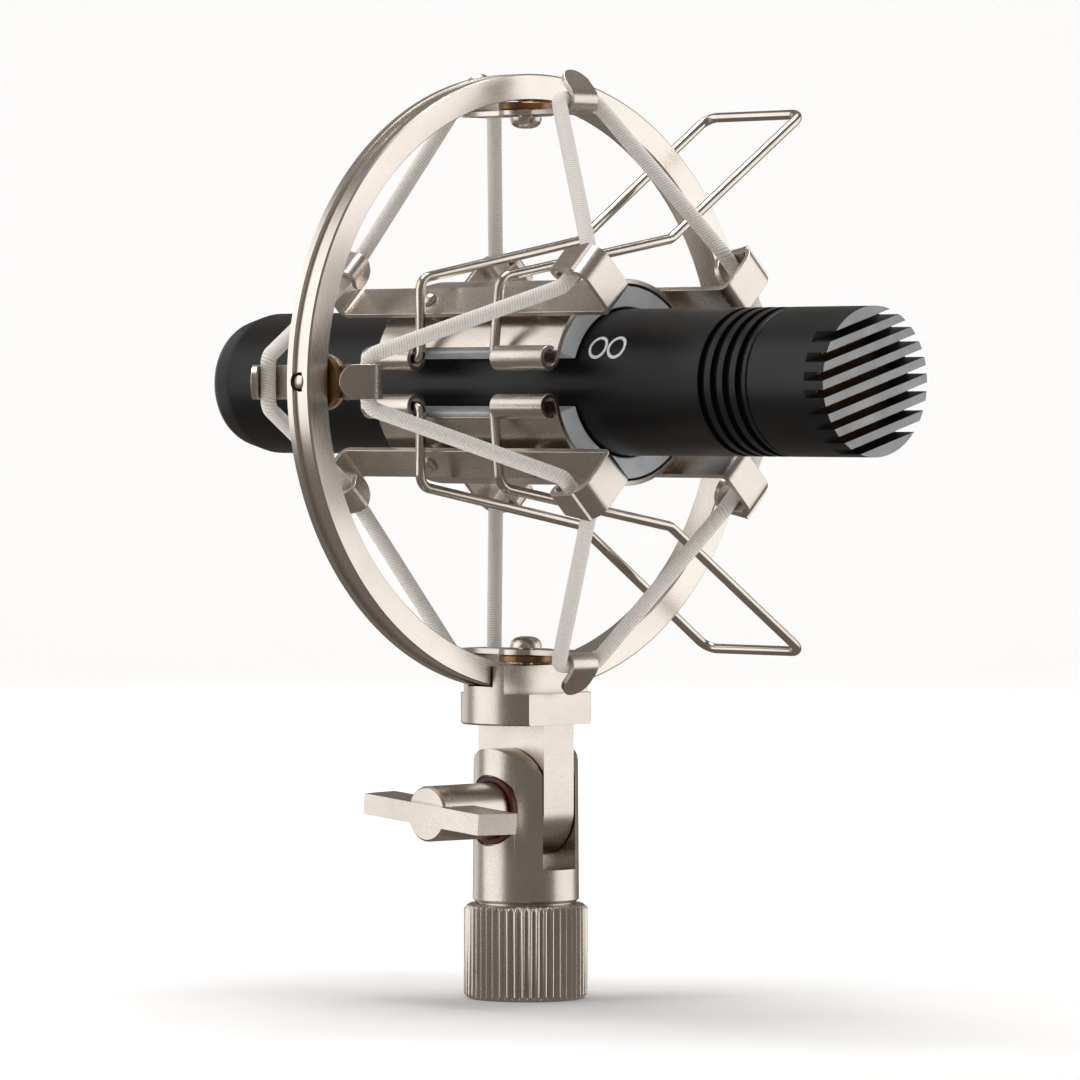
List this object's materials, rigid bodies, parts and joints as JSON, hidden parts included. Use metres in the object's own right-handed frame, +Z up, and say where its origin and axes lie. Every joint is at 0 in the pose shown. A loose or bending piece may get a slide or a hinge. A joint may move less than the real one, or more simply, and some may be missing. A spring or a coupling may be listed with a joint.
{
  "type": "ribbon microphone",
  "caption": "End-address ribbon microphone in a spring-clip elastic shock mount with squeeze handles, a tilting swivel and a knurled stand-thread collar.",
  "frame": {"origin": "centre of the thread collar's bottom face, on the stand's axis", "axes": "+Z up the stand, -Y the way the microphone looks, -X the side of the clamp's opening and the wing nut"},
  "size_m": [0.1064, 0.149, 0.1566],
  "materials": {
    "satin_nickel": "satin nickel plate",
    "ring_nickel": "turned and satin nickel plated",
    "wire_nickel": "bright nickel wire",
    "bronze": "plain turned",
    "black_anodised": "satin black anodised",
    "grille_grey": "black sides, worn grey front bars",
    "copper_mesh": "woven copper wire",
    "liner_rubber": "matt pale grey-blue",
    "elastic": "braided",
    "red_fibre": "pressed fibre",
    "black_plastic": "moulded",
    "silver_pin": "silver plate",
    "magnet": "nickel plated magnet",
    "foil": "bare corrugated foil",
    "iron_core": "blackened",
    "circuit_board": "green solder mask"
  },
  "bodies": {
    "collar": {"thread_collar": "satin_nickel"},
    "fork": {"swivel_fork": "satin_nickel", "pan_retainer": "satin_nickel", "pivot_bolt": "satin_nickel", "fibre_washer": "red_fibre"},
    "wing_nut": {"wing_nut": "satin_nickel"},
    "ring": {"ring_stem": "satin_nickel", "suspension_ring": "ring_nickel", "hook_plate_right": "satin_nickel", "hook_spacer_right": "bronze", "hook_screw_right": "satin_nickel", "hook_plate_top": "satin_nickel", "hook_spacer_top": "bronze", "hook_screw_top": "satin_nickel", "hook_plate_left": "satin_nickel", "hook_spacer_left": "bronze", "hook_screw_left": "satin_nickel", "hook_plate_bottom": "satin_nickel", "hook_spacer_bottom": "bronze", "hook_screw_bottom": "satin_nickel", "front_elastic": "elastic", "rear_elastic": "elastic"},
    "cradle": {"clamp_shell": "satin_nickel", "clamp_liner": "liner_rubber", "cradle_strip_upper_right": "satin_nickel", "cradle_strip_upper_left": "satin_nickel", "cradle_strip_lower_left": "satin_nickel", "cradle_strip_lower_right": "satin_nickel", "rivet_upper_right_front": "satin_nickel", "rivet_upper_right_rear": "satin_nickel", "rivet_upper_left_front": "satin_nickel", "rivet_upper_left_rear": "satin_nickel", "rivet_lower_left_front": "satin_nickel", "rivet_lower_left_rear": "satin_nickel", "rivet_lower_right_front": "satin_nickel", "rivet_lower_right_rear": "satin_nickel"},
    "upper_handle": {"upper_handle": "wire_nickel"},
    "lower_handle": {"lower_handle": "wire_nickel"},
    "microphone": {"head_grille": "grille_grey", "mesh_screen": "copper_mesh", "barrel": "black_anodised", "tail_sleeve": "black_anodised", "tail_set_screw": "copper_mesh", "xlr_insert": "black_plastic", "xlr_pin_1": "silver_pin", "xlr_pin_2": "silver_pin", "xlr_pin_3": "silver_pin", "motor_yoke": "iron_core", "magnet_left": "magnet", "magnet_right": "magnet", "ribbon": "foil", "ribbon_clamp_top": "silver_pin", "ribbon_clamp_bottom": "silver_pin", "transformer": "iron_core", "circuit_board": "circuit_board"}
  },
  "joints": [
    {"name": "pan", "type": "hinge", "parent": "collar", "child": "fork", "pos_m": [0, 0, 0], "axis": [0, 0, 1], "continuous": true},
    {"name": "tilt", "type": "hinge", "parent": "fork", "child": "ring", "pos_m": [0, 0, 0.032], "axis": [1, 0, 0], "range_deg": [-60, 60]},
    {"name": "wing_nut_turn", "type": "hinge", "parent": "fork", "child": "wing_nut", "pos_m": [0, 0, 0.032], "axis": [1, 0, 0], "range_deg": [-150, 150]},
    {"name": "cradle_float", "type": "slide", "parent": "ring", "child": "cradle", "axis": [0, 1, 0], "range_m": [-0.004, 0.004], "stiffness_N_per_m": 600, "deforming": ["front_elastic", "rear_elastic"]},
    {"name": "mic_slide", "type": "slide", "parent": "cradle", "child": "microphone", "axis": [0, 1, 0], "range_m": [-0.02, 0.02]},
    {"name": "upper_handle_squeeze", "type": "hinge", "parent": "cradle", "child": "upper_handle", "pos_m": [-0.01806, 0, 0.108], "axis": [0, 1, 0], "range_deg": [0, 4], "stiffness_Nm_per_rad": 3},
    {"name": "lower_handle_squeeze", "type": "hinge", "parent": "cradle", "child": "lower_handle", "pos_m": [-0.01806, 0, 0.1], "axis": [0, 1, 0], "range_deg": [-4, 0], "stiffness_Nm_per_rad": 3}
  ],
  "couplings": [
    {"joint": "lower_handle_squeeze", "follows": "upper_handle_squeeze", "ratio": -1}
  ]
}
